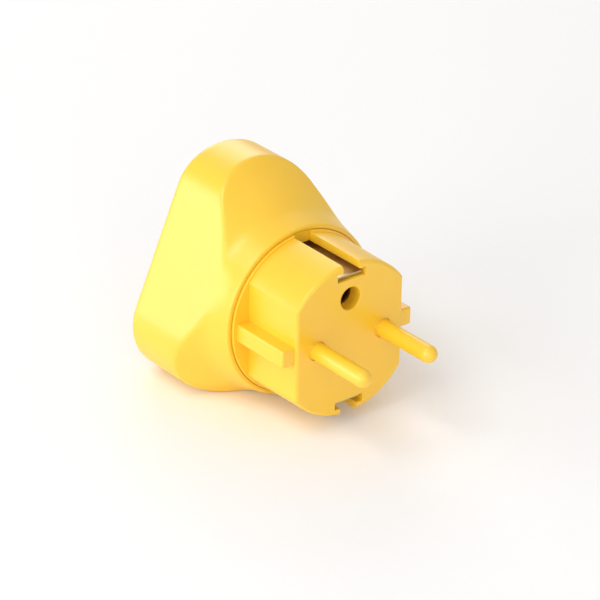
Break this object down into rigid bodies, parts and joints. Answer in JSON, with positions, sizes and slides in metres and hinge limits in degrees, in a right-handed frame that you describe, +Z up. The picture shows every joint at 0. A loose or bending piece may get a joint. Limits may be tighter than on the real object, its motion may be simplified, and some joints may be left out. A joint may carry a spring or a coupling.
{
  "type": "outlet earth bonding plug",
  "caption": "Yellow plastic wall-outlet plug with dummy plastic pins, an earth strip in each side slot, and a three-lobed housing with a press stud in each lobe.",
  "frame": {"origin": "centre of the front face of the plug insert, between the two pins", "axes": "-Y is the way the pins point; +X to the right seen along +Y; +Z up, towards the earth hole and the upper lobe, with the flat underside down"},
  "size_m": [0.0524, 0.0713, 0.0533],
  "materials": {
    "yellow_plastic": "satin-gloss moulded yellow plastic",
    "tinned_brass": "tin-plated stamped strip, fine rolled grain",
    "turned_brass": "turned, bright",
    "black_plastic": "matt moulded",
    "nickel_plate": "bright nickel plate",
    "zinc_steel": "bright zinc plate",
    "resistor_lacquer": "lacquered, tinned wire leads",
    "label_film": "satin white film"
  },
  "bodies": {
    "root": {"housing_shell": "yellow_plastic", "front_cover": "yellow_plastic", "plug_insert": "yellow_plastic", "dummy_pin_left": "yellow_plastic", "dummy_pin_right": "yellow_plastic", "earth_bow": "tinned_brass", "star_tag": "tinned_brass", "solder_tag_top": "tinned_brass", "solder_tag_left": "tinned_brass", "solder_tag_right": "tinned_brass", "contact_sleeve": "turned_brass", "insert_retainer": "black_plastic", "press_stud_top": "nickel_plate", "press_stud_left": "nickel_plate", "press_stud_right": "nickel_plate", "retainer_screw_1": "zinc_steel", "retainer_screw_2": "zinc_steel", "retainer_screw_3": "zinc_steel", "star_screw": "zinc_steel", "cover_screw_1": "zinc_steel", "cover_screw_2": "zinc_steel", "cover_screw_3": "zinc_steel", "stud_washer_top": "zinc_steel", "stud_washer_left": "zinc_steel", "stud_washer_right": "zinc_steel", "stud_nut_top": "zinc_steel", "stud_nut_left": "zinc_steel", "stud_nut_right": "zinc_steel", "resistor_top": "resistor_lacquer", "resistor_left": "resistor_lacquer", "resistor_right": "resistor_lacquer", "label_disc": "label_film"}
  },
  "joints": []
}
